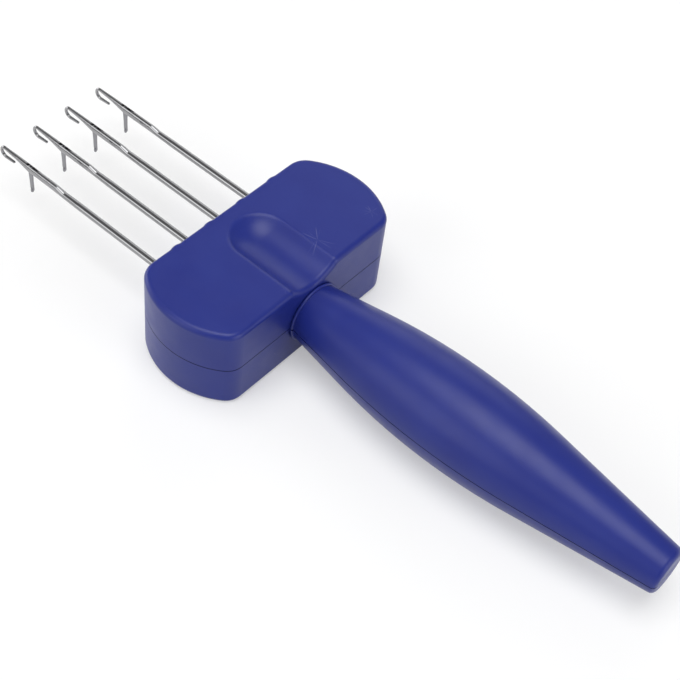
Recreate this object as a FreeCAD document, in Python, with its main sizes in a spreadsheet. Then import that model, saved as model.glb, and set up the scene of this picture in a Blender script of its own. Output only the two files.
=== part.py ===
import FreeCAD, Part
import Sketcher
import math
import os
import re

# Hand-held cord knitter: four latch needles in a row stand out of a two-shell head,
# and a two-part spindle handle is trapped in the head's back wall.
# Millimetres. The origin is the middle of the flat underside that the head rests on,
# +Z is up, the needles point to -X, the handle to +X, and the row of needles runs along Y.

os.makedirs("parts", exist_ok=True)
doc = FreeCAD.newDocument("cord_knitter")
sheet = doc.addObject("Spreadsheet::Sheet", "sizes")

SIZES = [
    # head block
    ("head_depth", 34.4),
    ("head_thickness", 28.0),
    ("head_end_radius", 24.5),
    ("head_back_corner_radius", 5.8),
    ("head_front_corner_radius", 6.8),
    ("head_edge_radius", 1.6),
    ("head_wall", 2.4),
    ("head_top_wall", 2.4),
    ("seam_groove_depth", 0.5),
    ("seam_groove_height", 0.12),
    # swellings of the front wall round the needles
    ("swelling_width", 3.4),
    ("swelling_height", 0.35),
    ("swelling_blend", 1.5),
    # thumb recess in the top
    ("recess_front_gap", 5.4),
    ("recess_width", 17.0),
    ("recess_depth", 3.2),
    ("recess_lip_radius", 2.2),
    ("recess_wall", 1.9),
    # handle
    ("handle_length", 117.4),
    ("handle_root_radius", 8.62),
    ("handle_max_radius", 14.0),
    ("handle_max_position", 49.6),
    ("handle_root_flare", 0.97),
    ("collar_height", 0.68),
    ("collar_half_thickness", 0.45),
    ("collar_gap", 0.05),
    ("collar_seam_gap", 0.25),
    ("handle_butt_radius", 6.6),
    ("handle_butt_rounding", 1.6),
    ("handle_wall", 2.4),
    ("handle_hollow_start", 8.0),
    ("handle_end_wall", 4.0),
    ("hollow_root_flare", 0.37),
    ("hollow_butt_flare", 0.55),
    ("neck_radius", 6.4),
    ("neck_clearance", 0.15),
    ("flange_top_gap", 0.9),
    ("neck_flange_thickness", 2.4),
    ("neck_stub_radius", 4.8),
    ("neck_stub_length", 6.0),
    ("saddle_thickness", 3.0),
    # needles
    ("needle_pitch", 12.5),
    ("needle_end_margin", 18.55),
    ("needle_projection", 72.3),
    ("stem_radius", 1.1),
    ("stem_clearance", 0.05),
    ("needle_inside_length", 18.0),
    ("butt_length", 5.0),
    ("butt_bend_radius", 2.0),
    ("waist_radius", 1.0),
    ("waist_length", 5.7),
    ("cheek_half_width", 0.96),
    ("cheek_half_height", 1.3),
    ("cheek_lift", 0.2),
    ("cheek_length", 12.3),
    ("cheek_blend", 3.0),
    ("nose_length", 5.0),
    ("shank_length", 5.3),
    ("shank_radius", 0.72),
    ("shank_lift", 0.8),
    ("hook_radius", 1.7),
    ("hook_wire_radius", 0.5),
    ("hook_lift", 0.95),
    ("beak_length", 3.5),
    ("beak_tilt", 4.0),
    ("beak_tip_radius", 0.42),
    ("beak_point_radius", 0.2),
    ("beak_point_length", 0.25),
    ("slot_front", 11.8),
    ("slot_length", 5.0),
    ("slot_width", 0.76),
    ("slot_relief_length", 4.2),
    ("slot_tail_length", 3.0),
    ("slot_relief_height", 0.25),
    # latches
    ("pivot_from_tip", 13.1),
    ("pivot_drop", 0.1),
    ("latch_length", 9.2),
    ("latch_thickness", 0.6),
    ("latch_eye_radius", 0.95),
    ("latch_root_width", 1.6),
    ("latch_waist_width", 1.05),
    ("latch_waist_position", 4.6),
    ("spoon_width", 1.3),
    ("spoon_length", 2.2),
    ("spoon_thickness", 0.75),
    ("cup_radius", 0.75),
    ("cup_depth", 0.25),
    ("rivet_radius", 0.35),
    ("rivet_end_gap", 0.02),
    ("rivet_clearance", 0.02),
    ("latch_clearance", 0.05),
    # needle clamp
    ("clamp_depth", 12.0),
    ("clamp_end_margin", 3.75),
    ("clamp_thickness", 4.0),
    ("clamp_back_gap", 2.0),
    ("bed_back_gap", 1.05),
    # screws
    ("screw_radius", 1.45),
    ("screw_tip_radius", 0.36),
    ("screw_head_radius", 2.7),
    ("screw_head_height", 1.9),
    ("screw_recess_width", 0.7),
    ("screw_recess_reach", 1.6),
    ("screw_recess_depth", 1.1),
    ("screw_clearance", 0.05),
    ("screw_hole_clearance", 0.2),
    ("screw_well_clearance", 0.35),
    ("screw_land", 4.0),
    ("screw_grip", 7.0),
    ("clamp_screw_grip", 6.0),
    ("pilot_end_clearance", 0.3),
    ("boss_wall", 2.2),
    ("well_wall", 1.6),
    ("head_screw_face_gap", 7.6),
    ("head_screw_end_gap", 8.1),
    ("handle_screw_front", 28.0),
    ("handle_screw_back", 86.0),
    # how far a solid runs past the face that it joins or cuts
    ("overrun", 1.0),
]
for row, (alias, number) in enumerate(SIZES, start=1):
    sheet.set("A%d" % row, alias)
    sheet.set("B%d" % row, repr(number))
    sheet.setAlias("B%d" % row, alias)

# Positions that follow from the sizes.
DERIVED = [
    ("seam_height", "head_thickness / 2"),
    ("back_face", "head_depth / 2"),
    ("front_face", "-head_depth / 2"),
    ("head_length", "3 * needle_pitch + 2 * needle_end_margin"),
    ("end_arc_centre", "head_length / 2 - head_end_radius"),
    ("hook_end", "front_face - needle_projection"),
    ("pivot_x", "hook_end + pivot_from_tip"),
    ("pivot_z", "seam_height - pivot_drop"),
    ("hook_centre_x", "hook_end + hook_radius + hook_wire_radius"),
    ("hook_centre_z", "seam_height + hook_lift - hook_radius"),
    ("shank_start", "hook_centre_x + shank_length"),
    ("nose_end", "shank_start + nose_length"),
    ("beak_root_x", "hook_centre_x + hook_radius * sin(beak_tilt * 1 deg)"),
    ("beak_root_z", "hook_centre_z - hook_radius * cos(beak_tilt * 1 deg)"),
    ("beak_tip_x", "beak_root_x + beak_length * cos(beak_tilt * 1 deg)"),
    ("beak_tip_z", "beak_root_z + beak_length * sin(beak_tilt * 1 deg)"),
    ("cheek_start", "nose_end + cheek_length"),
    ("waist_start", "cheek_start + cheek_blend"),
    ("stem_start", "waist_start + waist_length"),
    ("stem_end", "front_face + needle_inside_length"),
    ("recess_front", "front_face + recess_front_gap"),
    ("recess_length", "back_face - recess_front"),
    ("recess_radius", "(recess_width ^ 2 / 4 + recess_depth ^ 2) / (2 * recess_depth)"),
    ("recess_axis_height", "head_thickness - recess_depth + recess_radius"),
    ("recess_centre", "recess_front + recess_width / 2"),
    ("hollow_front", "front_face + head_wall"),
    ("hollow_back", "back_face - head_wall"),
    ("clamp_length", "3 * needle_pitch + 2 * clamp_end_margin"),
    ("clamp_back", "stem_end - clamp_back_gap"),
    ("clamp_front", "clamp_back - clamp_depth"),
    ("clamp_screw_x", "(clamp_front + clamp_back) / 2"),
    ("neck_opening", "neck_radius + neck_clearance"),
    ("flange_back", "hollow_back - neck_clearance"),
    ("flange_front", "flange_back - neck_flange_thickness"),
    ("stub_end", "flange_front - neck_stub_length"),
    ("stub_middle", "(stub_end + flange_front) / 2"),
    ("bed_back", "stub_end - bed_back_gap"),
    ("neck_flange_radius", "seam_height - recess_depth - recess_wall - flange_top_gap"),
    ("stem_groove_radius", "stem_radius + stem_clearance"),
    ("butt_slot_front", "stem_end - butt_bend_radius - stem_groove_radius"),
    ("butt_slot_back", "stem_end + stem_groove_radius"),
    ("slot_front_x", "hook_end + slot_front"),
    ("slot_back_x", "slot_front_x + slot_length"),
    ("handle_end", "back_face + handle_length"),
    ("handle_belly_x", "back_face + handle_max_position"),
    ("handle_root_drop", "handle_max_radius - handle_root_radius + handle_root_flare"),
    ("handle_bulge_radius", "(handle_max_position ^ 2 + handle_root_drop ^ 2) / (2 * handle_root_drop)"),
    ("handle_arc_drop", "handle_bulge_radius - handle_max_radius"),
    ("hollow_bulge_radius", "handle_bulge_radius - handle_wall"),
    ("hollow_root_reach", "handle_max_position - handle_hollow_start"),
    ("hollow_root_radius", "sqrt(hollow_bulge_radius ^ 2 - hollow_root_reach ^ 2) - handle_arc_drop"
     " + hollow_root_flare"),
    ("hollow_butt_radius", "handle_butt_radius - handle_wall + hollow_butt_flare"),
    ("collar_middle_radius", "handle_root_radius + collar_height - collar_half_thickness"),
    ("collar_reach", "handle_root_radius + 3 * collar_half_thickness"),
    ("rivet_length", "2 * cheek_half_width - 2 * rivet_end_gap"),
    ("front_screw_x", "back_face + handle_screw_front"),
    ("back_screw_x", "back_face + handle_screw_back"),
    ("front_boss_height", "handle_max_radius - (handle_screw_front - handle_max_position) ^ 2"
     " / (2 * handle_bulge_radius) - handle_wall / 2"),
    ("back_boss_height", "handle_max_radius - (handle_screw_back - handle_max_position) ^ 2"
     " / (2 * handle_bulge_radius) - handle_wall / 2"),
    ("head_screw_x", "back_face - head_screw_face_gap"),
    ("head_screw_y", "head_length / 2 - head_screw_end_gap"),
    ("pilot_depth", "screw_grip + screw_radius + pilot_end_clearance"),
    ("clamp_pilot_depth", "clamp_screw_grip + screw_radius + pilot_end_clearance"),
    ("screw_boss_radius", "screw_radius + boss_wall"),
    ("well_boss_radius", "screw_head_radius + screw_well_clearance + well_wall"),
    ("screw_well_radius", "screw_head_radius + screw_well_clearance"),
    ("screw_hole_radius", "screw_radius + screw_hole_clearance"),
    ("screw_pilot_radius", "screw_radius + screw_clearance"),
]
first_row = len(SIZES) + 1
for row, (alias, formula) in enumerate(DERIVED, start=first_row):
    sheet.set("A%d" % row, alias)
    sheet.set("B%d" % row, "=" + formula)
    sheet.setAlias("B%d" % row, alias)
doc.recompute()

NAMES = {alias for alias, _ in SIZES + DERIVED}
X_AXIS = FreeCAD.Vector(1, 0, 0)
Y_AXIS = FreeCAD.Vector(0, 1, 0)
Z_AXIS = FreeCAD.Vector(0, 0, 1)
LEVEL = FreeCAD.Rotation()
# Two places closer than this count as one, and an edge farther off than NEAR is another edge.
TOUCH = 0.01
NEAR = 0.1
ALONG_X = FreeCAD.Rotation(Y_AXIS, 90)
ALONG_Y = FreeCAD.Rotation(X_AXIS, -90)
TURNED_OVER = FreeCAD.Rotation(X_AXIS, 180)
# Turns a primitive's own axis to +X so that a half turn of it fills the upper or the lower side.
UPPER_HALF = FreeCAD.Rotation(Y_AXIS, Z_AXIS, X_AXIS, "ZXY")
LOWER_HALF = FreeCAD.Rotation(-Y_AXIS, -Z_AXIS, X_AXIS, "ZXY")


def size(alias):
    """The present value of one named size."""
    return float(sheet.get(alias))


def linked(formula):
    """The formula with every named size read from the sheet."""
    return re.sub(r"[a-z_]+", lambda word: named(word.group(0)), str(formula))


def named(word):
    """A size's address in the sheet, or the word itself when it is no size."""
    return "sizes." + word if word in NAMES else word


def bind(feature, path, formula):
    """Make one property of a feature follow a formula of named sizes."""
    feature.setExpression(path, linked(formula))


def new_body(name):
    """One piece of the object, built as a chain of features."""
    body = doc.addObject("PartDesign::Body", name)
    body.Label = name
    return body


def place(feature, x, y, z, rotation=LEVEL):
    """Put a feature at a point that follows the sizes."""
    feature.Placement = FreeCAD.Placement(FreeCAD.Vector(), rotation)
    bind(feature, "Placement.Base.x", x)
    bind(feature, "Placement.Base.y", y)
    bind(feature, "Placement.Base.z", z)
    return feature


def solid(body, kind, name, x, y, z, rotation=LEVEL, **dimensions):
    """Add or cut one simple solid, such as AdditiveBox or SubtractiveCylinder."""
    feature = body.newObject("PartDesign::" + kind, name)
    feature.Refine = False
    for dimension, formula in dimensions.items():
        bind(feature, dimension, formula)
    place(feature, x, y, z, rotation)
    doc.recompute()
    return feature


def block(body, kind, name, x_low, x_high, y_low, y_high, z_low, z_high):
    """Add or cut a box between its six faces."""
    return solid(body, kind, name, x_low, y_low, z_low,
                 Length="(%s) - (%s)" % (x_high, x_low),
                 Width="(%s) - (%s)" % (y_high, y_low),
                 Height="(%s) - (%s)" % (z_high, z_low))


def origin_plane(body, role):
    """One of the three planes through the body's origin."""
    return [feature for feature in body.Origin.OriginFeatures if feature.Role == role][0]


def new_sketch(body, name, height, plane="XY_Plane"):
    """A sketch on one of the body's own planes, lifted to a height."""
    sketch = body.newObject("Sketcher::SketchObject", name)
    sketch.AttachmentSupport = (origin_plane(body, plane), [""])
    sketch.MapMode = "FlatFace"
    bind(sketch, "AttachmentOffset.Base.z", height)
    doc.recompute()
    return sketch


def hold(sketch, kind, *geometry, to=None):
    """Add one constraint and, when it has a size, tie it to a formula."""
    if to is None:
        return sketch.addConstraint(Sketcher.Constraint(kind, *geometry))
    start = measured(to)
    index = sketch.addConstraint(Sketcher.Constraint(kind, *geometry, start))
    bind(sketch, "Constraints[%d]" % index, to)
    return index


def measured(formula):
    """The present value of a formula of named sizes."""
    return float(gauge.evalExpression(linked(formula)))


def outline(body, name, height, inset):
    """The head's plan: straight front and back, a shallow arc at each end."""
    sketch = new_sketch(body, name, height)
    back = measured("back_face - (%s)" % inset)
    radius = measured("head_end_radius - (%s)" % inset)
    centre = measured("end_arc_centre")
    corner = centre + (radius ** 2 - back ** 2) ** 0.5
    half_turn = math.acos(back / radius)
    points = [(back, -corner), (back, corner), (-back, corner), (-back, -corner)]
    flat = FreeCAD.Vector
    sketch.addGeometry(Part.LineSegment(flat(*points[0], 0), flat(*points[1], 0)))
    sketch.addGeometry(Part.ArcOfCircle(
        Part.Circle(flat(0, centre, 0), Z_AXIS, radius), half_turn, math.pi - half_turn))
    sketch.addGeometry(Part.LineSegment(flat(*points[2], 0), flat(*points[3], 0)))
    sketch.addGeometry(Part.ArcOfCircle(
        Part.Circle(flat(0, -centre, 0), Z_AXIS, radius), math.pi + half_turn, -half_turn))
    hold(sketch, "Coincident", 0, 2, 1, 1)
    hold(sketch, "Coincident", 1, 2, 2, 1)
    hold(sketch, "Coincident", 2, 2, 3, 1)
    hold(sketch, "Coincident", 3, 2, 0, 1)
    hold(sketch, "Vertical", 0)
    hold(sketch, "Vertical", 2)
    hold(sketch, "DistanceX", -1, 1, 0, 1, to="back_face - (%s)" % inset)
    hold(sketch, "DistanceX", 2, 1, -1, 1, to="back_face - (%s)" % inset)
    for arc, upward in ((1, True), (3, False)):
        hold(sketch, "PointOnObject", arc, 3, -2)
        hold(sketch, "Radius", arc, to="head_end_radius - (%s)" % inset)
        ends = (-1, 1, arc, 3) if upward else (arc, 3, -1, 1)
        hold(sketch, "DistanceY", *ends, to="end_arc_centre")
    doc.recompute()
    return sketch


def extrude(body, kind, sketch, name, length, down=False):
    """Pad or pocket a sketch; a pocket cuts the way it is told, up or down."""
    feature = body.newObject("PartDesign::" + kind, name)
    feature.Profile = sketch
    bind(feature, "Length", length)
    feature.Reversed = down if kind == "Pad" else not down
    sketch.Visibility = False
    doc.recompute()
    return feature


def circles(body, name, height, centres, radius, plane="XY_Plane"):
    """A sketch of equal circles, one at each centre."""
    sketch = new_sketch(body, name, height, plane)
    for number, (across, along) in enumerate(centres):
        centre = FreeCAD.Vector(measured(across), measured(along), 0)
        sketch.addGeometry(Part.Circle(centre, Z_AXIS, measured(radius)))
        hold(sketch, "Radius", number, to=radius)
        hold(sketch, "DistanceX", -1, 1, number, 3, to=across)
        hold(sketch, "DistanceY", -1, 1, number, 3, to=along)
    doc.recompute()
    return sketch


def rectangles(body, name, height, boxes):
    """A sketch of upright rectangles, each given by its four sides."""
    sketch = new_sketch(body, name, height)
    for number, (x_low, x_high, y_low, y_high) in enumerate(boxes):
        sides = [measured(side) for side in (x_low, x_high, y_low, y_high)]
        corners = [(sides[0], sides[2]), (sides[1], sides[2]), (sides[1], sides[3]), (sides[0], sides[3])]
        first = 4 * number
        for step in range(4):
            start = FreeCAD.Vector(*corners[step], 0)
            end = FreeCAD.Vector(*corners[(step + 1) % 4], 0)
            sketch.addGeometry(Part.LineSegment(start, end))
        for step in range(4):
            hold(sketch, "Coincident", first + step, 2, first + (step + 1) % 4, 1)
        hold(sketch, "Horizontal", first)
        hold(sketch, "Vertical", first + 1)
        hold(sketch, "Horizontal", first + 2)
        hold(sketch, "Vertical", first + 3)
        hold(sketch, "DistanceX", -1, 1, first, 1, to=x_low)
        hold(sketch, "DistanceX", -1, 1, first, 2, to=x_high)
        hold(sketch, "DistanceY", -1, 1, first, 2, to=y_low)
        hold(sketch, "DistanceY", -1, 1, first + 2, 1, to=y_high)
    doc.recompute()
    return sketch


def edges_where(feature, test):
    """Names of the feature's edges whose middle point and direction pass a test."""
    found = []
    for number, edge in enumerate(feature.Shape.Edges, start=1):
        middle = edge.valueAt((edge.FirstParameter + edge.LastParameter) / 2)
        if test(edge, middle):
            found.append("Edge%d" % number)
    if not found:
        raise ValueError("no edges found on " + feature.Name)
    return found


def rounded(body, name, base, edges, radius):
    """Round chosen edges of the last feature."""
    feature = body.newObject("PartDesign::Fillet", name)
    feature.Base = (base, edges)
    bind(feature, "Radius", radius)
    return finished(feature)


def seam_groove(body, base, edges):
    """Bevel the edges along the seam, deeper than high, so that two shells leave a thin dark groove."""
    feature = body.newObject("PartDesign::Chamfer", body.Name + "_seam_groove")
    feature.Base = (base, edges)
    feature.ChamferType = "Two distances"
    first_face = base.Shape.ancestorsOfType(base.Shape.getElement(edges[0]), Part.Face)[0]
    feature.FlipDirection = not is_level(first_face, size("seam_height"))
    bind(feature, "Size", "seam_groove_depth")
    bind(feature, "Size2", "seam_groove_height")
    return finished(feature)


def finished(feature):
    """Recompute a feature that works on edges and stop the build if it failed."""
    doc.recompute()
    if not feature.isValid() or not feature.Shape.isValid():
        raise ValueError("failed: " + feature.Name)
    return feature


def is_upright(edge):
    """True for a straight edge along Z."""
    box = edge.BoundBox
    return box.ZLength > NEAR and box.XLength < TOUCH and box.YLength < TOUCH


def is_level(element, height):
    """True for an edge or face that lies wholly at one height."""
    box = element.BoundBox
    return abs(box.ZMin - height) < TOUCH and abs(box.ZMax - height) < TOUCH


NEEDLE_ROWS = ["-1.5 * needle_pitch", "-0.5 * needle_pitch", "0.5 * needle_pitch", "1.5 * needle_pitch"]


def head_block(body, upper):
    """The outside of one head shell, with its front swellings, corners and seam chamfer."""
    prefix = body.Name
    sketch = outline(body, prefix + "_plan", "seam_height", "0")
    feature = extrude(body, "Pad", sketch, prefix + "_block", "seam_height", down=not upper)
    for number, row in enumerate(NEEDLE_ROWS, start=1):
        swelling = new_sketch(body, "%s_swelling_plan_%d" % (prefix, number), "seam_height")
        chord = size("swelling_width") / 2
        rise = size("swelling_height")
        radius = (chord ** 2 + rise ** 2) / (2 * rise)
        front = size("front_face")
        middle = measured(row)
        flat = FreeCAD.Vector
        swelling.addGeometry(Part.Arc(flat(front, middle + chord, 0), flat(front - rise, middle, 0),
                                      flat(front, middle - chord, 0)))
        swelling.addGeometry(Part.LineSegment(flat(front, middle - chord, 0), flat(front, middle + chord, 0)))
        arc_start, arc_end = (1, 2) if swelling.Geometry[0].StartPoint.y > middle else (2, 1)
        hold(swelling, "Coincident", 0, arc_end, 1, 1)
        hold(swelling, "Coincident", 0, arc_start, 1, 2)
        hold(swelling, "Vertical", 1)
        hold(swelling, "DistanceX", 1, 1, -1, 1, to="back_face")
        hold(swelling, "DistanceY", 1, 1, 1, 2, to="swelling_width")
        hold(swelling, "DistanceY", -1, 1, 1, 1, to="%s - swelling_width / 2" % row)
        hold(swelling, "Radius", 0,
             to="(swelling_width ^ 2 / 4 + swelling_height ^ 2) / (2 * swelling_height)")
        feature = extrude(body, "Pad", swelling, "%s_swelling_%d" % (prefix, number), "seam_height",
                          down=not upper)
    front = size("front_face")
    back = size("back_face")
    corner_y = size("end_arc_centre") + (size("head_end_radius") ** 2 - back ** 2) ** 0.5
    feature = rounded(body, prefix + "_back_corners", feature, edges_where(
        feature, lambda edge, at: is_upright(edge) and abs(at.x - back) < TOUCH), "head_back_corner_radius")
    feature = rounded(body, prefix + "_front_corners", feature, edges_where(
        feature, lambda edge, at: is_upright(edge) and abs(at.x - front) < TOUCH
        and abs(at.y) > corner_y - NEAR), "head_front_corner_radius")
    feature = rounded(body, prefix + "_swelling_blends", feature, edges_where(
        feature, lambda edge, at: is_upright(edge) and abs(at.x - front) < TOUCH
        and any(abs(abs(at.y - measured(row)) - size("swelling_width") / 2) < TOUCH for row in NEEDLE_ROWS)),
        "swelling_blend")
    return seam_groove(body, feature, edges_where(
        feature, lambda edge, at: is_level(edge, size("seam_height"))))


def hollow(body, upper):
    """Cut the head shell's hollow from the seam, leaving its walls and its outer skin."""
    prefix = body.Name
    sketch = outline(body, prefix + "_hollow_plan", "seam_height", "head_wall")
    feature = extrude(body, "Pocket", sketch, prefix + "_hollow", "seam_height - head_top_wall",
                      down=not upper)
    corner_x = size("hollow_back")
    return rounded(body, prefix + "_hollow_corners", feature, edges_where(
        feature, lambda edge, at: is_upright(edge) and abs(abs(at.x) - corner_x) < TOUCH
        and abs(at.y) > size("end_arc_centre")), "head_back_corner_radius - head_wall")


def thumb_recess(body):
    """The scooped thumb recess: a round-bottomed trough that runs out through the back edge."""
    solid(body, "SubtractiveCylinder", "recess_trough", "recess_centre", "0", "recess_axis_height",
          ALONG_X, Radius="recess_radius", Height="recess_length")
    feature = solid(body, "SubtractiveSphere", "recess_end", "recess_centre", "0", "recess_axis_height",
                    Radius="recess_radius")
    top = size("head_thickness")
    half = size("recess_width") / 2
    return rounded(body, "recess_lip", feature, edges_where(
        feature, lambda edge, at: is_level(edge, top) and abs(at.y) < half + TOUCH
        and size("recess_front") - TOUCH < at.x < size("back_face") - NEAR), "recess_lip_radius")


def outer_edge(body, feature, upper):
    """Round the long outer edge of the shell, along the mouth of the recess too."""
    face_height = size("head_thickness") if upper else 0.0
    back = size("back_face")
    half = size("recess_width") / 2 + size("recess_lip_radius")
    recess_front = size("recess_front") - size("recess_lip_radius")
    mouth_floor = size("head_thickness") - size("recess_depth") - TOUCH

    def chosen(edge, at):
        box = edge.BoundBox
        if edge.isClosed():
            return False
        if is_level(edge, face_height):
            return not (upper and abs(at.y) < half and recess_front < at.x < back - NEAR)
        in_mouth = abs(box.XMin - back) < TOUCH and abs(box.XMax - back) < TOUCH and abs(at.y) < half
        return upper and in_mouth and box.ZMin > mouth_floor

    return rounded(body, body.Name + "_outer_edge", feature, edges_where(feature, chosen), "head_edge_radius")


HEAD_SCREWS = [("-head_screw_x", "-head_screw_y"), ("-head_screw_x", "head_screw_y"),
               ("head_screw_x", "-head_screw_y"), ("head_screw_x", "head_screw_y")]
CLAMP_SCREWS = [("clamp_screw_x", "-needle_pitch"), ("clamp_screw_x", "needle_pitch")]
HANDLE_SCREWS = [("front_screw_x", "0", "front_boss_height"), ("back_screw_x", "0", "back_boss_height")]


def wall_openings(body, upper, stem_reach):
    """Half holes along the stems from the front wall, and the neck's half hole in the back wall."""
    prefix = body.Name
    stems = circles(body, prefix + "_stem_circles", "front_face - swelling_height - overrun",
                    [(row, "seam_height") for row in NEEDLE_ROWS], "stem_groove_radius", "YZ_Plane")
    extrude(body, "Pocket", stems, prefix + "_stem_holes", "swelling_height + overrun + %s" % stem_reach)
    return solid(body, "SubtractiveCylinder", prefix + "_neck_hole", "hollow_back - head_wall / 2", "0",
                 "seam_height", ALONG_X, Radius="neck_opening", Height="head_wall * 2")


def saddle(body, low, high):
    """The rib that holds the end of the handle's neck."""
    block(body, "AdditiveBox", body.Name + "_saddle", "stub_middle - saddle_thickness / 2",
          "stub_middle + saddle_thickness / 2", "-neck_flange_radius", "neck_flange_radius", low, high)
    solid(body, "SubtractiveCylinder", body.Name + "_saddle_seat", "stub_middle - saddle_thickness", "0",
          "seam_height", ALONG_X, Radius="neck_stub_radius + neck_clearance", Height="saddle_thickness * 2")


def head_upper_shell():
    """The top shell: thumb recess outside, screw bosses and the upper saddle inside."""
    body = new_body("head_upper_shell")
    head_block(body, upper=True)
    hollow(body, upper=True)
    block(body, "AdditiveBox", "recess_backing", "recess_front - recess_wall", "hollow_back + head_wall / 2",
          "-recess_width / 2 - recess_wall", "recess_width / 2 + recess_wall",
          "head_thickness - recess_depth - recess_wall", "head_thickness - head_top_wall / 2")
    bosses = circles(body, "upper_boss_circles", "seam_height", HEAD_SCREWS, "screw_boss_radius")
    extrude(body, "Pad", bosses, "upper_bosses", "seam_height - head_top_wall / 2")
    pilots = circles(body, "upper_pilot_circles", "seam_height", HEAD_SCREWS, "screw_pilot_radius")
    extrude(body, "Pocket", pilots, "upper_pilots", "pilot_depth")
    saddle(body, "seam_height", "head_thickness - recess_depth - recess_wall / 2")
    wall_openings(body, True, "head_wall * 1.5")
    feature = thumb_recess(body)
    outer_edge(body, feature, upper=True)
    return body


def head_lower_shell():
    """The bottom shell: needle bed, screw wells and the lower saddle inside."""
    body = new_body("head_lower_shell")
    head_block(body, upper=False)
    hollow(body, upper=False)
    block(body, "AdditiveBox", "needle_bed", "hollow_front - head_wall / 2", "bed_back",
          "-clamp_length / 2", "clamp_length / 2", "head_top_wall / 2", "seam_height")
    bosses = circles(body, "well_boss_circles", "head_top_wall / 2", HEAD_SCREWS, "well_boss_radius")
    extrude(body, "Pad", bosses, "well_bosses", "seam_height - head_top_wall / 2")
    saddle(body, "head_top_wall / 2", "seam_height")
    wells = circles(body, "well_circles", "0", HEAD_SCREWS, "screw_well_radius")
    extrude(body, "Pocket", wells, "screw_wells", "seam_height - screw_land")
    holes = circles(body, "well_hole_circles", "seam_height", HEAD_SCREWS, "screw_hole_radius")
    extrude(body, "Pocket", holes, "screw_holes", "screw_land * 1.5", down=True)
    slots = rectangles(body, "butt_slot_outlines", "seam_height", [
        ("butt_slot_front", "butt_slot_back", row + " - stem_groove_radius", row + " + stem_groove_radius")
        for row in NEEDLE_ROWS])
    extrude(body, "Pocket", slots, "butt_slots", "butt_length + stem_clearance", down=True)
    pilots = circles(body, "bed_pilot_circles", "seam_height", CLAMP_SCREWS, "screw_pilot_radius")
    extrude(body, "Pocket", pilots, "bed_pilots", "clamp_pilot_depth", down=True)
    feature = wall_openings(body, False, "needle_inside_length")
    outer_edge(body, feature, upper=False)
    return body


def needle_clamp_bar():
    """The bar that is screwed down over the four stems inside the head."""
    body = new_body("needle_clamp_bar")
    block(body, "AdditiveBox", "bar", "clamp_front", "clamp_back", "-clamp_length / 2", "clamp_length / 2",
          "seam_height", "seam_height + clamp_thickness")
    grooves = circles(body, "bar_groove_circles", "clamp_front",
                      [(row, "seam_height") for row in NEEDLE_ROWS], "stem_groove_radius", "YZ_Plane")
    extrude(body, "Pocket", grooves, "bar_grooves", "clamp_depth")
    holes = circles(body, "bar_hole_circles", "seam_height", CLAMP_SCREWS, "screw_hole_radius")
    extrude(body, "Pocket", holes, "bar_holes", "clamp_thickness")
    return body


def spindle_profile(body, name, start, end, inset, start_radius, end_radius, outside=False):
    """The handle's lengthwise outline on one side of its axis: taper, long bulge, taper.

    It closes along the axis, or round everything outside it.
    """
    sketch = new_sketch(body, name, "seam_height")
    x_start = measured(start)
    x_end = measured(end)
    r_start = measured(start_radius)
    r_end = measured(end_radius)
    centre_x = measured("handle_belly_x")
    radius = measured("handle_bulge_radius - (%s)" % inset)
    centre_y = -measured("handle_arc_drop")
    first = tangent_point(centre_x, centre_y, radius, x_start, r_start, -1)
    second = tangent_point(centre_x, centre_y, radius, x_end, r_end, 1)
    angles = [math.atan2(y - centre_y, x - centre_x) for x, y in (second, first)]
    far_x = measured("handle_end + overrun")
    far_y = measured("handle_max_radius + overrun")
    opening = (x_start, far_y if outside else 0)
    closing = [(x_end, 0), (far_x, 0), (far_x, far_y), opening] if outside else [(x_end, 0), opening]
    add_line(sketch, opening, (x_start, r_start))
    add_line(sketch, (x_start, r_start), first)
    sketch.addGeometry(Part.ArcOfCircle(
        Part.Circle(FreeCAD.Vector(centre_x, centre_y, 0), Z_AXIS, radius), *angles))
    add_line(sketch, second, (x_end, r_end))
    for corner, next_corner in zip([(x_end, r_end)] + closing, closing):
        add_line(sketch, corner, next_corner)
    last = 3 + len(closing)
    hold(sketch, "Coincident", 0, 2, 1, 1)
    hold(sketch, "Tangent", 1, 2, 2, 2)
    hold(sketch, "Tangent", 2, 1, 3, 1)
    for line in range(3, last):
        hold(sketch, "Coincident", line, 2, line + 1, 1)
    hold(sketch, "Coincident", last, 2, 0, 1)
    hold(sketch, "Vertical", 0)
    hold(sketch, "Vertical", 4)
    hold(sketch, "PointOnObject", 4, 2, -1)
    if outside:
        hold(sketch, "Horizontal", 5)
        hold(sketch, "Vertical", 6)
        hold(sketch, "Horizontal", 7)
        hold(sketch, "DistanceX", -1, 1, 6, 2, to="handle_end + overrun")
        hold(sketch, "DistanceY", -1, 1, 6, 2, to="handle_max_radius + overrun")
    else:
        hold(sketch, "PointOnObject", 0, 1, -1)
    hold(sketch, "DistanceX", -1, 1, 0, 1, to=start)
    hold(sketch, "DistanceX", -1, 1, 4, 2, to=end)
    hold(sketch, "DistanceY", -1, 1, 0, 2, to=start_radius)
    hold(sketch, "DistanceY", -1, 1, 4, 1, to=end_radius)
    hold(sketch, "Radius", 2, to="handle_bulge_radius - (%s)" % inset)
    hold(sketch, "DistanceX", -1, 1, 2, 3, to="handle_belly_x")
    hold(sketch, "DistanceY", 2, 3, -1, 1, to="handle_arc_drop")
    doc.recompute()
    return sketch


def add_line(sketch, start, end):
    """Draw a straight line between two points of a sketch."""
    sketch.addGeometry(Part.LineSegment(FreeCAD.Vector(*start, 0), FreeCAD.Vector(*end, 0)))


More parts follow.
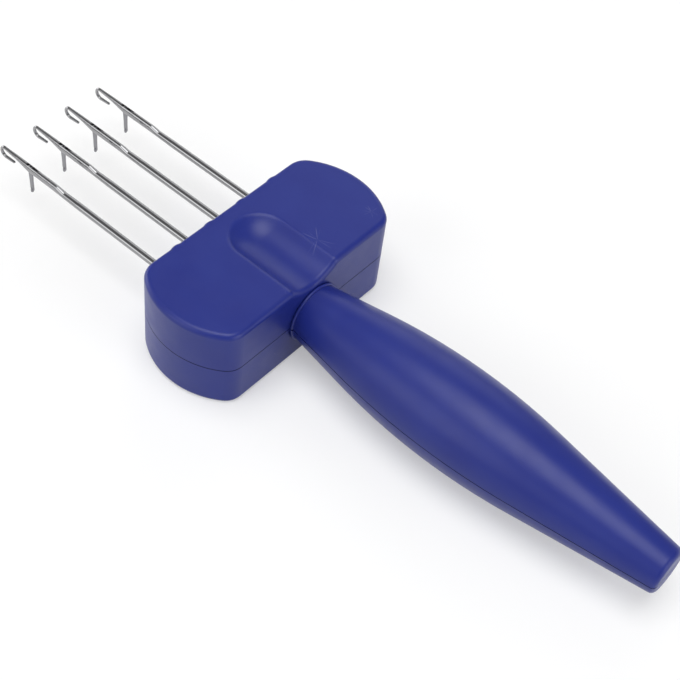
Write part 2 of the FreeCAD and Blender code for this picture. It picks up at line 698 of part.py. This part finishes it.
def tangent_point(centre_x, centre_y, radius, x, y, side):
    """Where the line from a point touches a circle, on the circle's upper side."""
    distance = math.hypot(x - centre_x, y - centre_y)
    bearing = math.atan2(y - centre_y, x - centre_x)
    angle = bearing + side * math.acos(min(1.0, radius / distance))
    return centre_x + radius * math.cos(angle), centre_y + radius * math.sin(angle)


def half_turn(body, kind, sketch, name, upper):
    """Revolve a profile half a turn about the handle's axis, over the top or under it."""
    feature = body.newObject("PartDesign::" + kind, name)
    feature.Profile = sketch
    feature.ReferenceAxis = (sketch, ["H_Axis"])
    feature.Angle = 180
    feature.Reversed = not upper
    sketch.Visibility = False
    doc.recompute()
    return feature


def collar(body, upper):
    """The thin round collar at the handle's root, cut short of the seam on both sides."""
    turn = UPPER_HALF if upper else LOWER_HALF
    solid(body, "AdditiveTorus", body.Name + "_collar", "back_face + collar_gap + collar_half_thickness", "0",
          "seam_height", turn, Radius1="collar_middle_radius", Radius2="collar_half_thickness", Angle3="180")
    low, high = ("0", "collar_seam_gap") if upper else ("-collar_seam_gap", "0")
    for side, (y_low, y_high) in enumerate([("handle_root_radius", "collar_reach"),
                                            ("-collar_reach", "-handle_root_radius")], start=1):
        block(body, "SubtractiveBox", "%s_collar_end_%d" % (body.Name, side), "back_face",
              "back_face + collar_reach - handle_root_radius", y_low, y_high,
              "seam_height + " + low, "seam_height + " + high)


def handle_half(name, upper):
    """One half of the spindle handle, with its neck, flange and screw bosses."""
    body = new_body(name)
    outer = spindle_profile(body, name + "_profile", "back_face", "handle_end", "0",
                            "handle_root_radius", "handle_butt_radius")
    feature = half_turn(body, "Revolution", outer, name + "_outside", upper)
    end = size("handle_end")
    seam = size("seam_height")
    feature = rounded(body, name + "_butt_rim", feature, edges_where(
        feature, lambda edge, at: abs(edge.BoundBox.XMin - end) < TOUCH and abs(at.z - seam) > NEAR),
        "handle_butt_rounding")
    for side, turn, down in (("left", LEVEL, not upper), ("right", TURNED_OVER, upper)):
        beyond = spindle_profile(body, "%s_groove_profile_%s" % (name, side), "back_face",
                                 "handle_end - seam_groove_depth", "seam_groove_depth",
                                 "handle_root_radius - seam_groove_depth",
                                 "handle_butt_radius - seam_groove_depth", outside=True)
        beyond.AttachmentOffset = FreeCAD.Placement(beyond.AttachmentOffset.Base, turn)
        extrude(body, "Pocket", beyond, "%s_seam_groove_%s" % (name, side), "seam_groove_height", down=down)
    collar(body, upper)
    inner = spindle_profile(body, name + "_hollow_profile", "back_face + handle_hollow_start",
                            "handle_end - handle_end_wall", "handle_wall",
                            "hollow_root_radius", "hollow_butt_radius")
    half_turn(body, "Groove", inner, name + "_hollow", upper)
    turn = UPPER_HALF if upper else LOWER_HALF
    solid(body, "AdditiveCylinder", name + "_neck", "flange_front", "0", "seam_height", turn,
          Radius="neck_radius", Height="back_face - flange_front + overrun", Angle="180")
    solid(body, "AdditiveCylinder", name + "_flange", "flange_front", "0", "seam_height", turn,
          Radius="neck_flange_radius", Height="neck_flange_thickness", Angle="180")
    solid(body, "AdditiveCylinder", name + "_stub", "stub_end", "0", "seam_height", turn,
          Radius="neck_stub_radius", Height="neck_stub_length + overrun", Angle="180")
    for number, (x, y, height) in enumerate(HANDLE_SCREWS, start=1):
        if upper:
            solid(body, "AdditiveCylinder", "%s_boss_%d" % (name, number), x, y, "seam_height",
                  Radius="screw_boss_radius", Height=height)
            solid(body, "SubtractiveCylinder", "%s_pilot_%d" % (name, number), x, y, "seam_height - overrun",
                  Radius="screw_pilot_radius", Height="pilot_depth + overrun")
        else:
            solid(body, "AdditiveCylinder", "%s_boss_%d" % (name, number), x, y, "seam_height - %s" % height,
                  Radius="well_boss_radius", Height=height)
            solid(body, "SubtractiveCylinder", "%s_well_%d" % (name, number), x, y, "-overrun",
                  Radius="screw_well_radius", Height="seam_height - screw_land + overrun")
            solid(body, "SubtractiveCylinder", "%s_hole_%d" % (name, number), x, y,
                  "seam_height - screw_land - overrun", Radius="screw_hole_radius",
                  Height="screw_land + 2 * overrun")
    return body


# How simple solids and sections are turned. Each names the way the solid's own axis points.
SECTION_TURN = FreeCAD.Rotation(Z_AXIS, -Y_AXIS, X_AXIS, "ZXY")
HOOK_TURN = FreeCAD.Rotation(Z_AXIS, -X_AXIS, -Y_AXIS, "ZXY")
BEND_TURN = FreeCAD.Rotation(Z_AXIS, X_AXIS, Y_AXIS, "ZXY")
ARM_TURN = FreeCAD.Rotation(X_AXIS, -Z_AXIS, Y_AXIS, "ZXY")


def form(kind, name, x, y, z, rotation=LEVEL, **dimensions):
    """One simple Part solid or outline placed by the sizes."""
    feature = doc.addObject("Part::" + kind, name)
    for dimension, formula in dimensions.items():
        bind(feature, dimension, formula)
    return place(feature, x, y, z, rotation)


def joined(name, pieces):
    """Fuse several solids into one."""
    fusion = doc.addObject("Part::MultiFuse", name)
    fusion.Shapes = pieces
    fusion.Refine = True
    doc.recompute()
    return fusion


def cut_from(name, base, tools):
    """Cut several solids out of one."""
    for number, tool in enumerate(tools, start=1):
        cut = doc.addObject("Part::Cut", name if number == len(tools) else "%s_cut_%d" % (name, number))
        cut.Base = base
        cut.Tool = tool
        cut.Refine = True
        doc.recompute()
        base = cut
    base.Label = name
    return base


def section(name, x, row, lift, half_width, half_height=None):
    """One section across a needle: round, or taller than wide where a half height is given."""
    height = "seam_height + " + lift
    if half_height is None:
        return form("Circle", name, x, row, height, SECTION_TURN, Radius=half_width)
    return form("Ellipse", name, x, row, height, SECTION_TURN, MajorRadius=half_height,
                MinorRadius=half_width)


def latch_needle(number, row):
    """One needle: bent butt, round stem, flattened cheeks with the latch slot, tapered nose and hook."""
    name = "latch_needle_%d" % number
    beak_turn = FreeCAD.Rotation(Y_AXIS, 90 - size("beak_tilt"))
    cheeks = ("cheek_lift", "cheek_half_width", "cheek_half_height")
    sections = [
        section(name + "_stem_section", "stem_start", row, "0", "stem_radius"),
        section(name + "_waist_section", "waist_start", row, "0", "waist_radius"),
        section(name + "_cheek_section", "cheek_start", row, *cheeks),
        section(name + "_nose_section", "nose_end", row, *cheeks),
        section(name + "_shank_section", "shank_start", row, "shank_lift", "shank_radius"),
        section(name + "_wire_section", "hook_centre_x", row, "hook_lift", "hook_wire_radius"),
    ]
    head = doc.addObject("Part::Loft", name + "_head")
    head.Sections = sections
    head.Solid = True
    head.Ruled = True
    pieces = [
        head,
        form("Cylinder", name + "_stem", "stem_start", row, "seam_height", ALONG_X,
             Radius="stem_radius", Height="stem_end - butt_bend_radius - stem_start"),
        form("Torus", name + "_bend", "stem_end - butt_bend_radius", row, "seam_height - butt_bend_radius",
             BEND_TURN, Radius1="butt_bend_radius", Radius2="stem_radius", Angle3="90"),
        form("Cylinder", name + "_butt", "stem_end", row, "seam_height - butt_length",
             Radius="stem_radius", Height="butt_length - butt_bend_radius"),
        form("Torus", name + "_hook", "hook_centre_x", row, "hook_centre_z", HOOK_TURN,
             Radius1="hook_radius", Radius2="hook_wire_radius", Angle3="180 + beak_tilt"),
        form("Cone", name + "_beak", "beak_root_x", row, "beak_root_z", beak_turn,
             Radius1="hook_wire_radius", Radius2="beak_tip_radius", Height="beak_length"),
        form("Cone", name + "_beak_point", "beak_tip_x", row, "beak_tip_z", beak_turn,
             Radius1="beak_tip_radius", Radius2="beak_point_radius", Height="beak_point_length"),
    ]
    slot_side = row + " - slot_width / 2"
    below = "seam_height - cheek_half_height * 2"
    slot = [
        form("Box", name + "_slot", "slot_front_x", slot_side, below,
             Length="slot_length", Width="slot_width", Height="cheek_half_height * 5"),
        form("Box", name + "_relief", "slot_front_x - slot_relief_length", slot_side, below,
             Length="slot_relief_length + slot_length + slot_tail_length", Width="slot_width",
             Height="cheek_half_height * 2 + slot_relief_height"),
        form("Cylinder", name + "_rivet_hole", "pivot_x", row + " - cheek_half_width * 2", "pivot_z",
             ALONG_Y, Radius="rivet_radius + rivet_clearance", Height="cheek_half_width * 4"),
    ]
    return cut_from(name, joined(name + "_whole", pieces), slot)


def latch(number, row):
    """One latch, hanging straight down: eye, tapering blade and cupped spoon."""
    name = "latch_%d" % number
    half = "latch_thickness / 2"
    spoon_middle = "pivot_z - latch_length + spoon_length / 2"
    body = new_body(name)
    solid(body, "AdditiveCylinder", name + "_eye", "pivot_x", "%s - %s" % (row, half), "pivot_z", ALONG_Y,
          Radius="latch_eye_radius", Height="latch_thickness")
    arm = body.newObject("PartDesign::AdditiveWedge", name + "_arm")
    sides = {"Xmin": "-latch_root_width / 2", "Xmax": "latch_root_width / 2", "Ymin": "0",
             "Ymax": "latch_waist_position", "Zmin": "-latch_thickness / 2", "Zmax": half,
             "X2min": "-latch_waist_width / 2", "X2max": "latch_waist_width / 2",
             "Z2min": "-latch_thickness / 2", "Z2max": half}
    for side, formula in sides.items():
        bind(arm, side, formula)
    place(arm, "pivot_x", row, "pivot_z", ARM_TURN)
    doc.recompute()
    block(body, "AdditiveBox", name + "_blade", "pivot_x - latch_waist_width / 2",
          "pivot_x + latch_waist_width / 2", "%s - %s" % (row, half), "%s + %s" % (row, half),
          spoon_middle, "pivot_z - latch_waist_position")
    solid(body, "AdditiveEllipsoid", name + "_spoon", "pivot_x", row, spoon_middle,
          Radius1="spoon_length / 2", Radius2="spoon_thickness / 2", Radius3="spoon_width / 2")
    solid(body, "SubtractiveSphere", name + "_cup",
          "pivot_x - cup_radius - spoon_thickness / 2 + cup_depth", row, spoon_middle, Radius="cup_radius")
    solid(body, "SubtractiveCylinder", name + "_eye_hole", "pivot_x", "%s - latch_thickness" % row, "pivot_z",
          ALONG_Y, Radius="rivet_radius + latch_clearance", Height="latch_thickness * 2")
    return body


def latch_rivet(number, row):
    """The rivet through the cheeks that its latch swings on."""
    name = "latch_rivet_%d" % number
    body = new_body(name)
    solid(body, "AdditiveCylinder", name + "_pin", "pivot_x", row + " - rivet_length / 2", "pivot_z",
          ALONG_Y, Radius="rivet_radius", Height="rivet_length")
    return body


def screw(name, x, y, seat, grip, upward):
    """One self-tapping screw whose head sits on a seat and whose shank runs up or down from it."""
    turn = LEVEL if upward else FreeCAD.Rotation(X_AXIS, 180)
    down = -1 if upward else 1
    shank = form("Cylinder", name + "_shank", x, y, seat, turn, Radius="screw_radius", Height=grip)
    tip = form("Cone", name + "_tip", x, y, "%s + %d * (%s)" % (seat, -down, grip), turn,
               Radius1="screw_radius", Radius2="screw_tip_radius", Height="screw_radius")
    head_low = "%s - screw_head_height" % seat if upward else seat
    head = form("Cylinder", name + "_head", x, y, head_low,
                Radius="screw_head_radius", Height="screw_head_height")
    recess_low = head_low if upward else "%s + screw_head_height - screw_recess_depth" % seat
    crossing = [
        form("Box", name + "_recess_x", x + " - screw_recess_reach", y + " - screw_recess_width / 2",
             recess_low, Length="screw_recess_reach * 2", Width="screw_recess_width",
             Height="screw_recess_depth"),
        form("Box", name + "_recess_y", x + " - screw_recess_width / 2", y + " - screw_recess_reach",
             recess_low, Length="screw_recess_width", Width="screw_recess_reach * 2",
             Height="screw_recess_depth"),
    ]
    return cut_from(name, joined(name + "_whole", [head, shank, tip]), crossing)


def group(name, pieces):
    """Identical fasteners kept together as one node of separate solids."""
    compound = doc.addObject("Part::Compound", name)
    compound.Links = pieces
    compound.Label = name
    doc.recompute()
    return compound


gauge = doc.addObject("App::FeaturePython", "gauge")
nodes = [
    head_upper_shell(),
    head_lower_shell(),
    needle_clamp_bar(),
    handle_half("handle_upper_half", upper=True),
    handle_half("handle_lower_half", upper=False),
]
for number, row in enumerate(NEEDLE_ROWS, start=1):
    nodes += [latch_needle(number, row), latch(number, row), latch_rivet(number, row)]
nodes.append(group("head_screws", [
    screw("head_screw_%d" % number, x, y, "seam_height - screw_land", "screw_land + screw_grip", True)
    for number, (x, y) in enumerate(HEAD_SCREWS, start=1)]))
nodes.append(group("handle_screws", [
    screw("handle_screw_%d" % number, x, y, "seam_height - screw_land", "screw_land + screw_grip", True)
    for number, (x, y, _) in enumerate(HANDLE_SCREWS, start=1)]))
nodes.append(group("clamp_screws", [
    screw("clamp_screw_%d" % number, x, y, "seam_height + clamp_thickness",
          "clamp_thickness + clamp_screw_grip", False)
    for number, (x, y) in enumerate(CLAMP_SCREWS, start=1)]))

doc.recompute()
for item in doc.Objects:
    if any(state in ("Invalid", "Error") for state in item.State):
        raise ValueError("feature in error: " + item.Name)
for node in nodes:
    shape = node.Shape
    if shape.isNull() or not shape.isValid() or not shape.Solids:
        raise ValueError("bad shape: " + node.Label)
    shape.exportStep("parts/%s.step" % node.Label)
    print("%-20s solids %d  volume %.1f" % (node.Label, len(shape.Solids), shape.Volume))
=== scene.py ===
import math

import bpy
from mathutils import Matrix, Vector


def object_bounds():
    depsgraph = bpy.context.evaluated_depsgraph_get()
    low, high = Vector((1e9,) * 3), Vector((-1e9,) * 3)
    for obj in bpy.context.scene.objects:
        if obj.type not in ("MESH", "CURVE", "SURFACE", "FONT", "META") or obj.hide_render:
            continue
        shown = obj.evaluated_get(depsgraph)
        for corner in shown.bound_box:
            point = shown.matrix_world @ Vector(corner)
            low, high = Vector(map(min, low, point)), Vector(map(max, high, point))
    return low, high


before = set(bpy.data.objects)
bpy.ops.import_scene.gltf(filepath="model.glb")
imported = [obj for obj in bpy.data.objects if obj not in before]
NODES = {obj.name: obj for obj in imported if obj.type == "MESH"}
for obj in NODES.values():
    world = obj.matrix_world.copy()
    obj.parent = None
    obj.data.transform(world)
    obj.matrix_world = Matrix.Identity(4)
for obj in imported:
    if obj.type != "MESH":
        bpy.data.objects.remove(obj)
CAD_LOW, CAD_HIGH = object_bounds()

bl_info = {
    "name": "I-cord Maker",
    "version": (1, 0, 0),
    "blender": (4, 5, 0),
    "location": "View3D > Sidebar > I-cord Maker",
    "description": "Finishes of a hand-held i-cord maker and its studio",
    "category": "Object",
}

MM = 0.001
# The height at which the shells meet, how far from it the painted shade in the groove is full, and how
# far it shows at all.
SEAM_HEIGHT = 14.0 * MM
SEAM_SHADE_CORE = 0.11 * MM
SEAM_CLEAR = 0.19 * MM
# Star scratches on the head, each with its place and reach in millimetres and how close its rays lie.
SCUFFS = (
    ((8.5, 10.3, 28.0), 5.0, 3.2),
    ((11.8, 29.2, 28.0), 2.6, 5.0),
    ((14.6, -9.2, 27.6), 1.6, 4.1),
)
# How far apart specks may lie in millimetres, how many places have one, and how strongly marks show.
SPECK_SPACING = 3.4
SPECK_SHARE = 0.07
MARK_STRENGTH = 0.2
# Where thumbs have worn the recess rough, and how far that reaches, in millimetres.
WORN_PLACE = (9.0, 8.0, 26.5)
WORN_REACH = 18.0
# Far soft panels of light, each with its azimuth, elevation and radius in degrees and its strength:
# overhead, on the near side, past the needles' tips, on the far side, and beyond the butt.
SOFT_PANELS = (
    (250, 84, 20, 3.7),
    (250, 27, 19, 1.9),
    (186, 8, 17, 3.2),
    (118, 28, 16, 1.15),
    (6, 14, 22, 2.5),
)
# How far each panel fades out past its radius, and how far inside it the fade begins, in degrees.
PANEL_FADE_OUT = 6
PANEL_FADE_IN = 3
# The dim light that comes from everywhere.
AMBIENT = 0.22
# The floor's paper, and the glow that makes it white where it is seen or mirrored.
PAPER = "#CFCFCF"
PAPER_GLOW = 0.38
FLOOR_SIZE = 8.0
# The camera's place in millimetres, its two directions across the picture and its lens.
CAMERA_PLACE = (170.16, -204.42, 312.00)
CAMERA_RIGHT = (0.74895, 0.65629, 0.09142)
CAMERA_UP = (-0.55369, 0.54404, 0.63043)
CAMERA_LENS = 75.78
NEEDLES = [name for name in sorted(NODES) if name.startswith("latch_needle_")]
LATCHES = [name for name in sorted(NODES) if name.startswith("latch_") and name[6:].isdigit()]
RIVETS = [name for name in sorted(NODES) if name.startswith("latch_rivet_")]


def linear(hex_colour):
    """An sRGB hex value as linear red, green, blue and alpha."""
    channels = [int(hex_colour[place:place + 2], 16) / 255 for place in (1, 3, 5)]
    return tuple(c / 12.92 if c <= 0.04045 else ((c + 0.055) / 1.055) ** 2.4 for c in channels) + (1.0,)


def add_node(tree, kind, inputs=None, **settings):
    """One shader node with its settings, and its inputs given as values or as other nodes' outputs."""
    node = tree.nodes.new(kind)
    for name, value in settings.items():
        setattr(node, name, value)
    for name, value in (inputs or {}).items():
        if isinstance(value, bpy.types.NodeSocket):
            tree.links.new(value, node.inputs[name])
        else:
            node.inputs[name].default_value = value
    return node


def new_material(name):
    """An empty node material with its output node."""
    material = bpy.data.materials.new(name)
    material.use_nodes = True
    material.node_tree.nodes.clear()
    output = material.node_tree.nodes.new("ShaderNodeOutputMaterial")
    return material, material.node_tree, output


def coordinates(tree):
    """The piece's own coordinates, which stay with it when it moves."""
    return add_node(tree, "ShaderNodeTexCoord").outputs["Object"]


def stretched(tree, stretch):
    """The piece's coordinates with a stretch, for patterns that run along one way."""
    return add_node(tree, "ShaderNodeMapping", {
        "Vector": coordinates(tree), "Scale": stretch}).outputs["Vector"]


def noise(tree, vector, size_mm, detail=2.0, roughness=0.5):
    """Soft noise whose lumps are about size_mm across."""
    return add_node(tree, "ShaderNodeTexNoise", {
        "Vector": vector, "Scale": 1 / (size_mm * MM), "Detail": detail, "Roughness": roughness,
    }).outputs["Fac"]


def remap(tree, value, low, high, to_low, to_high):
    """A value moved from one range to another, held inside it."""
    return add_node(tree, "ShaderNodeMapRange", {
        "Value": value, "From Min": low, "From Max": high, "To Min": to_low, "To Max": to_high,
    }).outputs["Result"]


def maths(tree, operation, first, second=0.0):
    """One sum on two numbers, each given as a value or as another node's output."""
    return add_node(tree, "ShaderNodeMath", {0: first, 1: second}, operation=operation).outputs["Value"]


def blended(tree, share, first, second):
    """The first colour, with the second, given as an sRGB hex value, over a share of it."""
    return add_node(tree, "ShaderNodeMix", {
        "Factor": share, "A": first, "B": linear(second)}, data_type="RGBA").outputs["Result"]


def specks(tree, vector, spacing_mm, share):
    """Sparse specks a quarter of a millimetre wide, in only a share of the cells."""
    cells = add_node(tree, "ShaderNodeTexVoronoi", {"Vector": vector, "Scale": 1 / (spacing_mm * MM)})
    dot = maths(tree, "LESS_THAN", cells.outputs["Distance"], 0.12 / spacing_mm)
    chosen = add_node(tree, "ShaderNodeSeparateColor", {"Color": cells.outputs["Color"]}).outputs["Red"]
    return maths(tree, "MULTIPLY", dot, maths(tree, "LESS_THAN", chosen, share))


def near(tree, centre, reach):
    """A mask that is full at a place, in millimetres, and fades out at its reach."""
    distance = add_node(tree, "ShaderNodeVectorMath", {
        0: coordinates(tree), 1: Vector(centre) * MM}, operation="DISTANCE").outputs["Value"]
    return remap(tree, distance, 0.0, reach * MM, 1.0, 0.0)


def painted_seam_shade(tree):
    """A mask for painted shade: a dark line inside the groove where two shells meet."""
    height = add_node(tree, "ShaderNodeSeparateXYZ", {"Vector": coordinates(tree)}).outputs["Z"]
    off = maths(tree, "ABSOLUTE", maths(tree, "SUBTRACT", height, SEAM_HEIGHT))
    return remap(tree, off, SEAM_SHADE_CORE, SEAM_CLEAR, 0.9, 0.0)


def scuff(tree, centre, reach, rays):
    """A star of fine scratches round a point of the head, fading outwards."""
    offset = add_node(tree, "ShaderNodeVectorMath", {
        0: coordinates(tree), 1: Vector(centre) * MM}, operation="SUBTRACT").outputs["Vector"]
    parts = add_node(tree, "ShaderNodeSeparateXYZ", {"Vector": offset})
    bearing = maths(tree, "ARCTAN2", parts.outputs["Y"], parts.outputs["X"])
    lines = add_node(tree, "ShaderNodeTexNoise", {"W": bearing, "Scale": rays, "Detail": 3.0},
                     noise_dimensions="1D").outputs["Fac"]
    return maths(tree, "MULTIPLY", remap(tree, lines, 0.6, 0.66, 0.0, 1.0), near(tree, centre, reach))


def moulded_abs(settings):
    """Injection-moulded blue ABS: a dense even blue under a satin skin with a fine spark-eroded grain.

    Pale specks and star scratches show on it, the recess is rubbed rough, and painted shade darkens the
    seam's groove.
    """
    material, tree, output = new_material("moulded ABS, satin blue")
    plain = stretched(tree, (1, 1, 1))
    cloud = remap(tree, noise(tree, plain, 14, 3.0), 0.3, 0.7, 0.0, 1.0)
    blue = blended(tree, cloud, linear(settings.plastic_deep), settings.plastic_pale)
    marks = maths(tree, "MULTIPLY", specks(tree, plain, SPECK_SPACING, SPECK_SHARE), 0.8)
    for place, reach, rays in SCUFFS:
        marks = maths(tree, "MAXIMUM", marks, scuff(tree, place, reach, rays))
    rubbed = blended(tree, maths(tree, "MULTIPLY", marks, MARK_STRENGTH), blue, settings.plastic_rubbed)
    # Painted shade: the seam's groove darkened to a dark line.
    colour = blended(tree, painted_seam_shade(tree), rubbed, settings.plastic_seam_shade)
    grain = noise(tree, plain, settings.grain_mm, 3.0, 0.6)
    sheen = remap(tree, noise(tree, plain, 5, 2.0), 0.3, 0.7,
                  settings.plastic_gloss - 0.03, settings.plastic_gloss + 0.04)
    worn_rough = maths(tree, "MULTIPLY", noise(tree, plain, 0.9, 3.0, 0.7),
                       near(tree, WORN_PLACE, WORN_REACH))
    relief = maths(tree, "ADD", maths(tree, "MULTIPLY", grain, 0.3), worn_rough)
    bump = add_node(tree, "ShaderNodeBump", {"Strength": 0.9, "Distance": 0.06 * MM, "Height": relief})
    shader = add_node(tree, "ShaderNodeBsdfPrincipled", {
        "Base Color": colour, "Roughness": sheen, "IOR": 1.45, "Specular IOR Level": 0.42,
        "Normal": bump.outputs["Normal"],
    })
    tree.links.new(shader.outputs["BSDF"], output.inputs["Surface"])
    return material


def plated_steel(name, tone, roughness, along):
    """Drawn and plated steel: bright, with fine drawing marks along the wire."""
    material, tree, output = new_material(name)
    marks = noise(tree, stretched(tree, along), 0.12, 2.0)
    shader = add_node(tree, "ShaderNodeBsdfPrincipled", {
        "Base Color": linear(tone), "Metallic": 1.0,
        "Roughness": remap(tree, marks, 0.3, 0.7, roughness - 0.03, roughness + 0.05),
        "Normal": add_node(tree, "ShaderNodeBump", {
            "Strength": 0.08, "Distance": 0.01 * MM, "Height": marks}).outputs["Normal"],
    })
    tree.links.new(shader.outputs["BSDF"], output.inputs["Surface"])
    return material


def grey_nylon():
    """Moulded grey nylon: dull and slightly waxy."""
    material, tree, output = new_material("moulded nylon, grey")
    plain = stretched(tree, (1, 1, 1))
    grain = noise(tree, plain, 0.3, 2.0)
    shader = add_node(tree, "ShaderNodeBsdfPrincipled", {
        "Base Color": linear("#6E7074"), "IOR": 1.53,
        "Roughness": remap(tree, grain, 0.3, 0.7, 0.5, 0.62),
        "Normal": add_node(tree, "ShaderNodeBump", {
            "Strength": 0.2, "Distance": 0.02 * MM, "Height": grain}).outputs["Normal"],
    })
    tree.links.new(shader.outputs["BSDF"], output.inputs["Surface"])
    return material


def finish(node_names, material):
    """Give CAD nodes a material in every slot."""
    for name in node_names:
        mesh = NODES[name].data
        mesh.materials.clear()
        mesh.materials.append(material)


class IcordMakerFinish(bpy.types.PropertyGroup):
    """Colours and finish of the maker's plastic and steel."""
    plastic_deep: bpy.props.StringProperty(
        name="Plastic deep", description="Darker blue of the moulded plastic, as an sRGB hex value",
        default="#1F2B7F")
    plastic_pale: bpy.props.StringProperty(
        name="Plastic pale", description="Paler blue of the moulded plastic, as an sRGB hex value",
        default="#233084")
    plastic_rubbed: bpy.props.StringProperty(
        name="Plastic rubbed", description="Colour of specks and scratches, as an sRGB hex value",
        default="#C4C8DC")
    # Colour of the painted shade in the seam's groove.
    plastic_seam_shade: bpy.props.StringProperty(
        name="Plastic seam", description="Colour inside the seam's groove, as an sRGB hex value",
        default="#0A0F3C")
    plastic_gloss: bpy.props.FloatProperty(
        name="Plastic roughness", description="Roughness of the satin plastic skin", default=0.36,
        min=0.05, max=1.0, subtype="FACTOR")
    grain_mm: bpy.props.FloatProperty(
        name="Grain", description="Size of the spark-eroded grain, in millimetres",
        default=0.35, min=0.05)


class ICORD_OT_shells(bpy.types.Operator):
    """Finish the head shells and the handle halves in moulded plastic"""
    bl_idname = "icord.shells"
    bl_label = "Plastic Shells"

    def execute(self, context):
        finish(["head_upper_shell", "head_lower_shell", "handle_upper_half", "handle_lower_half"],
               moulded_abs(context.scene.icord_finish))
        return {"FINISHED"}


class ICORD_OT_needles(bpy.types.Operator):
    """Finish the needles, latches and rivets in plated steel"""
    bl_idname = "icord.needles"
    bl_label = "Needles"

    def execute(self, context):
        finish(NEEDLES, plated_steel("nickel-plated needle steel", "#9B9B9D", 0.09, (0.05, 1, 1)))
        finish(LATCHES, plated_steel("polished latch steel", "#8E8E92", 0.2, (1, 1, 0.1)))
        finish(RIVETS, plated_steel("bright rivet steel", "#A6A6A8", 0.25, (1, 0.2, 1)))
        return {"FINISHED"}


class ICORD_OT_screws(bpy.types.Operator):
    """Finish the screws and the clamp bar"""
    bl_idname = "icord.screws"
    bl_label = "Screws and Clamp"

    def execute(self, context):
        finish(["head_screws", "handle_screws", "clamp_screws"],
               plated_steel("zinc-plated screw steel", "#9FA1A3", 0.33, (1, 1, 1)))
        finish(["needle_clamp_bar"], grey_nylon())
        return {"FINISHED"}


class ICORD_OT_studio(bpy.types.Operator):
    """Add the paper floor, the soft panels of light and the camera"""
    bl_idname = "icord.studio"
    bl_label = "Studio"

    def execute(self, context):
        bpy.ops.object.select_all(action="DESELECT")
        bpy.ops.mesh.primitive_plane_add(size=FLOOR_SIZE, location=(0, 0, CAD_LOW.z))
        floor = context.object
        floor.name = "studio_floor"
        floor.data.materials.append(white_paper())
        add_light(context.scene)
        add_camera(context.scene)
        return {"FINISHED"}


def white_paper():
    """Matt paper that keeps the shadow, and glows to white where it is seen or mirrored."""
    material, tree, output = new_material("matt white paper")
    ray = add_node(tree, "ShaderNodeLightPath").outputs
    mirrored = maths(tree, "MAXIMUM", ray["Is Glossy Ray"], ray["Is Transmission Ray"])
    seen = maths(tree, "MAXIMUM", ray["Is Camera Ray"], mirrored)
    paper = add_node(tree, "ShaderNodeBsdfDiffuse", {"Color": linear(PAPER)})
    glow = add_node(tree, "ShaderNodeEmission", {
        "Color": (1, 1, 1, 1), "Strength": maths(tree, "MULTIPLY", seen, PAPER_GLOW)})
    both = add_node(tree, "ShaderNodeAddShader", {
        0: paper.outputs["BSDF"], 1: glow.outputs["Emission"]})
    tree.links.new(both.outputs["Shader"], output.inputs["Surface"])
    return material


def add_light(scene):
    """A world that is dim all over, with the soft panels added to it."""
    scene.world = bpy.data.worlds.new("studio")
    scene.world.use_nodes = True
    tree = scene.world.node_tree
    tree.nodes.clear()
    where = add_node(tree, "ShaderNodeTexCoord").outputs["Generated"]
    light = AMBIENT
    for panel in SOFT_PANELS:
        light = maths(tree, "ADD", soft_panel(tree, where, *panel), light)
    background = add_node(tree, "ShaderNodeBackground", {"Color": (1, 1, 1, 1), "Strength": light})
    output = add_node(tree, "ShaderNodeOutputWorld")
    tree.links.new(background.outputs["Background"], output.inputs["Surface"])


def soft_panel(tree, where, azimuth, elevation, radius, strength):
    """A far round panel of light, full up to about its radius and faded out beyond it."""
    bearing = math.radians(azimuth)
    rise = math.radians(elevation)
    centre = (math.cos(rise) * math.cos(bearing), math.cos(rise) * math.sin(bearing), math.sin(rise))
    nearness = add_node(tree, "ShaderNodeVectorMath", {0: where, 1: centre}, operation="DOT_PRODUCT")
    return add_node(tree, "ShaderNodeMapRange", {
        "Value": nearness.outputs["Value"],
        "From Min": math.cos(math.radians(radius + PANEL_FADE_OUT)),
        "From Max": math.cos(math.radians(radius - PANEL_FADE_IN)),
        "To Min": 0.0, "To Max": strength,
    }, interpolation_type="SMOOTHSTEP").outputs["Result"]


def add_camera(scene):
    """The camera high above the near side, towards the butt, and slightly rolled."""
    camera = bpy.data.objects.new("camera", bpy.data.cameras.new("camera"))
    scene.collection.objects.link(camera)
    right = Vector(CAMERA_RIGHT)
    up = Vector(CAMERA_UP)
    turn = Matrix((right, up, right.cross(up))).transposed().to_4x4()
    camera.matrix_world = Matrix.Translation(Vector(CAMERA_PLACE) * MM) @ turn
    camera.data.sensor_width = 36
    camera.data.lens = CAMERA_LENS
    camera.data.clip_start = 0.01
    scene.camera = camera


class ICORD_PT_panel(bpy.types.Panel):
    """The maker's operators and settings"""
    bl_idname = "ICORD_PT_panel"
    bl_label = "I-cord Maker"
    bl_space_type = "VIEW_3D"
    bl_region_type = "UI"
    bl_category = "I-cord Maker"

    def draw(self, context):
        for operator in OPERATORS:
            self.layout.operator(operator.bl_idname)


OPERATORS = (ICORD_OT_shells, ICORD_OT_needles, ICORD_OT_screws, ICORD_OT_studio)
CLASSES = (IcordMakerFinish, *OPERATORS, ICORD_PT_panel)


def register():
    for each in CLASSES:
        bpy.utils.register_class(each)
    bpy.types.Scene.icord_finish = bpy.props.PointerProperty(type=IcordMakerFinish)


def unregister():
    del bpy.types.Scene.icord_finish
    for each in reversed(CLASSES):
        bpy.utils.unregister_class(each)


def main():
    """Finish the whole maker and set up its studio."""
    register()
    bpy.context.scene.view_settings.view_transform = "Standard"
    bpy.ops.icord.shells()
    bpy.ops.icord.needles()
    bpy.ops.icord.screws()
    bpy.ops.icord.studio()


if __name__ == "__main__":
    main()
